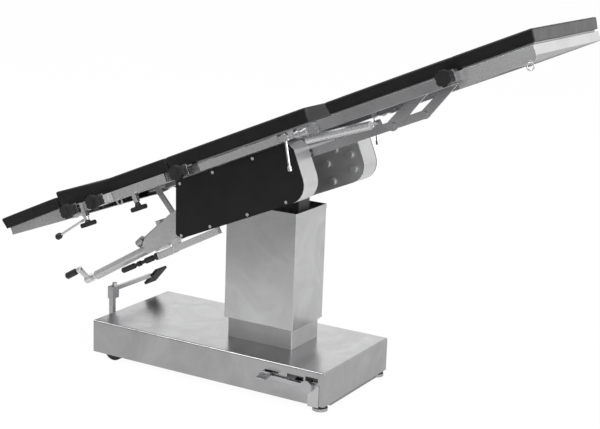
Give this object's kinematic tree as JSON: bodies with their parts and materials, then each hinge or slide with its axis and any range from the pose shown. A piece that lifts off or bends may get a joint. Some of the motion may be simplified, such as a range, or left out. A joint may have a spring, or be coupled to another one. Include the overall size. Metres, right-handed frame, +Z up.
{
  "type": "operating_table",
  "caption": "Manual operating table with a hydraulic lifting column on a wheeled steel base and a tilted, sectioned black tabletop",
  "frame": {"origin": "on the floor, under the middle of the table's overall box, which is the lifting column's axis within a few millimetres", "axes": "+X towards the foot end of the tabletop (the raised end), +Y to the side away from the pedals of the near side, +Z up"},
  "size_m": [1.8533, 0.63, 1.2134],
  "materials": {
    "polished_steel": "polished",
    "chrome": "polished",
    "satin_steel": "satin",
    "black_leather": "satin",
    "black_plastic": "matte",
    "black_panel": "satin",
    "grey_paint": "satin",
    "dark_iron": "matte",
    "black_rubber": "matte",
    "white_plastic": "matte",
    "tyre_rubber": "matte"
  },
  "bodies": {
    "base": {"base_cover": "polished_steel", "base_frame": "grey_paint", "castor_brackets": "grey_paint", "column_inner": "polished_steel", "column_guides": "white_plastic", "lift_cylinder": "satin_steel", "pump_unit": "dark_iron", "brake_bracket": "polished_steel"},
    "left_axle": {"left_wheels": "tyre_rubber"},
    "fork_near": {"swivel_fork_near": "satin_steel"},
    "fork_far": {"swivel_fork_far": "satin_steel"},
    "castor_near": {"swivel_wheel_near": "tyre_rubber"},
    "castor_far": {"swivel_wheel_far": "tyre_rubber"},
    "brake_pedal": {"brake_lever": "satin_steel"},
    "feet": {"brake_feet": "satin_steel"},
    "pump": {"pump_lever": "satin_steel", "pump_pedal": "black_rubber"},
    "lift": {"column_outer": "polished_steel", "lift_rod": "chrome", "yoke": "dark_iron"},
    "roll": {"saddle": "dark_iron"},
    "table": {"housings": "satin_steel", "housing_panels": "black_panel", "housing_screws": "chrome", "cross_tubes": "satin_steel", "seat_beams": "satin_steel", "seat_board": "satin_steel", "seat_pad": "black_leather", "seat_rails": "chrome", "leg_hinge_plates": "satin_steel", "crank_bracket": "satin_steel", "screw_housings": "satin_steel"},
    "crank_tilt": {"tilt_crank": "chrome"},
    "grip": {"tilt_grip": "black_plastic"},
    "crank_back": {"back_crank": "black_plastic"},
    "crank_side": {"side_crank": "satin_steel"},
    "back": {"back_board": "satin_steel", "back_beams": "satin_steel", "back_pad": "black_leather", "back_rails": "chrome"},
    "head": {"head_tray": "satin_steel", "head_pad": "black_leather"},
    "leg": {"leg_board": "satin_steel", "leg_bars": "satin_steel", "leg_pad": "black_leather", "foot_tray": "polished_steel"},
    "ring": {"foot_ring": "chrome"},
    "bars": {"link_bars": "satin_steel", "stay_rods": "chrome"},
    "plates": {"link_plates": "satin_steel"},
    "arms": {"link_arms": "satin_steel"},
    "knob_a": {"knobs_head": "black_plastic"},
    "knob_b": {"knobs_back": "black_plastic"},
    "knob_c": {"knobs_seat": "black_plastic"},
    "knob_d": {"knobs_leg": "black_plastic"},
    "levers": {"lever_clamps": "chrome"},
    "lock_head": {"head_lock": "black_plastic"},
    "lock_lever": {"head_lock_lever": "chrome", "lock_ball": "black_plastic"},
    "lock_back": {"back_lock": "black_plastic"}
  },
  "joints": [
    {"name": "left_axle_roll", "type": "hinge", "parent": "base", "child": "left_axle", "pos_m": [-0.49335, 0, 0.0375], "axis": [0, 1, 0], "continuous": true},
    {"name": "fork_near_swivel", "type": "hinge", "parent": "base", "child": "fork_near", "pos_m": [0.17015, -0.12, 0.088], "axis": [0, 0, 1], "continuous": true},
    {"name": "fork_far_swivel", "type": "hinge", "parent": "base", "child": "fork_far", "pos_m": [0.17015, 0.12, 0.088], "axis": [0, 0, 1], "continuous": true},
    {"name": "castor_near_roll", "type": "hinge", "parent": "fork_near", "child": "castor_near", "pos_m": [0.14215, -0.12, 0.0375], "axis": [0, 1, 0], "continuous": true},
    {"name": "castor_far_roll", "type": "hinge", "parent": "fork_far", "child": "castor_far", "pos_m": [0.14215, 0.12, 0.0375], "axis": [0, 1, 0], "continuous": true},
    {"name": "brake_pedal_hinge", "type": "hinge", "parent": "base", "child": "brake_pedal", "pos_m": [0.25915, 0, 0.078], "axis": [0, -1, 0], "range_deg": [0, 15]},
    {"name": "feet_slide", "type": "slide", "parent": "base", "child": "feet", "axis": [0, 0, 1], "range_m": [0, 0.0083]},
    {"name": "pump_hinge", "type": "hinge", "parent": "base", "child": "pump", "pos_m": [-0.60335, -0.069, 0.075], "axis": [-1, 0, 0], "range_deg": [0, 25]},
    {"name": "lift_slide", "type": "slide", "parent": "base", "child": "lift", "axis": [0, 0, 1], "range_m": [-0.03, 0.2]},
    {"name": "side_tilt", "type": "hinge", "parent": "lift", "child": "roll", "pos_m": [0, 0, 0.64], "axis": [1, 0, 0], "range_deg": [-15, 15]},
    {"name": "table_tilt", "type": "hinge", "parent": "roll", "child": "table", "pos_m": [0, 0, 0.64], "axis": [0, 1, 0], "range_deg": [-2, 48]},
    {"name": "back_tilt", "type": "hinge", "parent": "table", "child": "back", "pos_m": [-0.25222, 0, 0.71569], "axis": [0, 1, 0], "range_deg": [-10, 75]},
    {"name": "head_tilt", "type": "hinge", "parent": "back", "child": "head", "pos_m": [-0.62808, 0, 0.48104], "axis": [0, -1, 0], "range_deg": [-5, 35]},
    {"name": "leg_tilt", "type": "hinge", "parent": "table", "child": "leg", "pos_m": [0.27632, 0, 0.87887], "axis": [0, -1, 0], "range_deg": [-90, 10]},
    {"name": "bars_hinge", "type": "hinge", "parent": "table", "child": "bars", "pos_m": [0.19165, 0, 0.77712], "axis": [0, -1, 0], "range_deg": [-90, 10]},
    {"name": "plates_hinge", "type": "hinge", "parent": "leg", "child": "plates", "pos_m": [0.55006, 0, 0.99665], "axis": [0, -1, 0], "range_deg": [-10, 90]},
    {"name": "arms_hinge", "type": "hinge", "parent": "leg", "child": "arms", "pos_m": [0.65019, 0, 1.03973], "axis": [0, -1, 0], "range_deg": [-10, 90]},
    {"name": "crank_tilt_turn", "type": "hinge", "parent": "table", "child": "crank_tilt", "pos_m": [-0.73068, 0, 0.20414], "axis": [0.86, 0, 0.5102], "range_deg": [-60, 1200]},
    {"name": "grip_turn", "type": "hinge", "parent": "crank_tilt", "child": "grip", "pos_m": [-0.80266, 0, 0.21376], "axis": [0.86, 0, 0.5102], "continuous": true},
    {"name": "crank_back_turn", "type": "hinge", "parent": "table", "child": "crank_back", "pos_m": [-0.3836, -0.1, 0.35816], "axis": [0.8856, 0, 0.4645], "range_deg": [-220, 1560]},
    {"name": "crank_side_turn", "type": "hinge", "parent": "table", "child": "crank_side", "pos_m": [-0.5428, 0, 0.35117], "axis": [0.7328, 0, 0.6805], "range_deg": [-400, 400]},
    {"name": "knob_a_turn", "type": "hinge", "parent": "back", "child": "knob_a", "pos_m": [-0.60396, 0, 0.51101], "axis": [0, 1, 0], "continuous": true},
    {"name": "knob_b_turn", "type": "hinge", "parent": "back", "child": "knob_b", "pos_m": [-0.49832, 0, 0.55646], "axis": [0, 1, 0], "continuous": true},
    {"name": "knob_c_turn", "type": "hinge", "parent": "table", "child": "knob_c", "pos_m": [-0.17498, 0, 0.69558], "axis": [0, 1, 0], "continuous": true},
    {"name": "knob_d_turn", "type": "hinge", "parent": "leg", "child": "knob_d", "pos_m": [0.68849, 0, 1.06709], "axis": [0, 1, 0], "continuous": true},
    {"name": "levers_turn", "type": "hinge", "parent": "table", "child": "levers", "pos_m": [0.18899, 0, 0.84402], "axis": [0, 1, 0], "range_deg": [-60, 60]},
    {"name": "lock_head_turn", "type": "hinge", "parent": "back", "child": "lock_head", "pos_m": [-0.53919, -0.28, 0.48445], "axis": [-0.3952, 0, 0.9186], "continuous": true},
    {"name": "lock_lever_turn", "type": "hinge", "parent": "back", "child": "lock_lever", "pos_m": [-0.54314, -0.28, 0.49364], "axis": [-0.3952, 0, 0.9186], "range_deg": [0, 40]},
    {"name": "lock_back_turn", "type": "hinge", "parent": "back", "child": "lock_back", "pos_m": [-0.3472, -0.27, 0.56705], "axis": [-0.3952, 0, 0.9186], "continuous": true},
    {"name": "ring_turn", "type": "hinge", "parent": "leg", "child": "ring", "pos_m": [0.91045, -0.265, 1.12558], "axis": [0, 1, 0], "range_deg": [-60, 60]}
  ],
  "couplings": [
    {"joint": "feet_slide", "follows": "brake_pedal_hinge", "m_per_rad": 0.0305},
    {"joint": "bars_hinge", "follows": "leg_tilt", "ratio": 1},
    {"joint": "plates_hinge", "follows": "leg_tilt", "ratio": -1},
    {"joint": "arms_hinge", "follows": "leg_tilt", "ratio": -1},
    {"joint": "crank_tilt_turn", "follows": "table_tilt", "ratio": 24},
    {"joint": "crank_back_turn", "follows": "back_tilt", "ratio": 20},
    {"joint": "crank_side_turn", "follows": "side_tilt", "ratio": 24}
  ]
}
